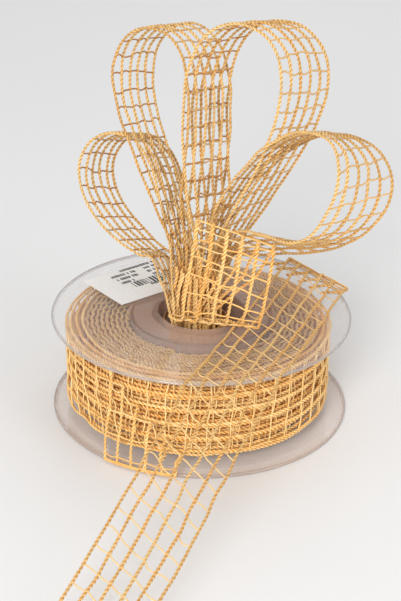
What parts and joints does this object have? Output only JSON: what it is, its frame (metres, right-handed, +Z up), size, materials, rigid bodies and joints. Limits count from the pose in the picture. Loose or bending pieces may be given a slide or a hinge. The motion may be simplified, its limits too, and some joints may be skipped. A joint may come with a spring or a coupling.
{
  "type": "ribbon spool",
  "caption": "Clear flanged spool wound with open net ribbon, with a draped length over its rim and a looped bow standing in its centre hole.",
  "frame": {"origin": "centre of the spool's hole at its underside, on the surface that it stands on", "axes": "+Z up along the spool's hole; -Y towards the front, where the draped ribbon runs down"},
  "size_m": [0.1191, 0.2385, 0.128],
  "materials": {
    "clear_upper": "glossy clear moulded plastic",
    "clear_lower": "glossy clear moulded plastic with a grey tint",
    "label_paper": null,
    "clear_tape": "clear adhesive tape",
    "wound_ribbon": "open net of twisted golden cords, wound in layers",
    "net_ribbon": "open net of twisted golden cords and thin wefts",
    "tie_thread": "wound thread"
  },
  "bodies": {
    "spool": {"spool_upper_half": "clear_upper", "spool_lower_half": "clear_lower", "label": "label_paper", "start_tape": "clear_tape", "ribbon_pack": "wound_ribbon", "ribbon_end": "net_ribbon", "draped_ribbon": "net_ribbon"},
    "bow": {"bow_stem": "net_ribbon", "bow_tie": "tie_thread", "bow_loop_back_left": "net_ribbon", "bow_loop_back_right": "net_ribbon", "bow_loop_side_left": "net_ribbon", "bow_loop_side_right": "net_ribbon", "bow_center_loop": "net_ribbon"}
  },
  "joints": [
    {"name": "bow_lift", "type": "slide", "parent": "spool", "child": "bow", "axis": [0, 0, 1], "range_m": [0, 0.04]}
  ]
}
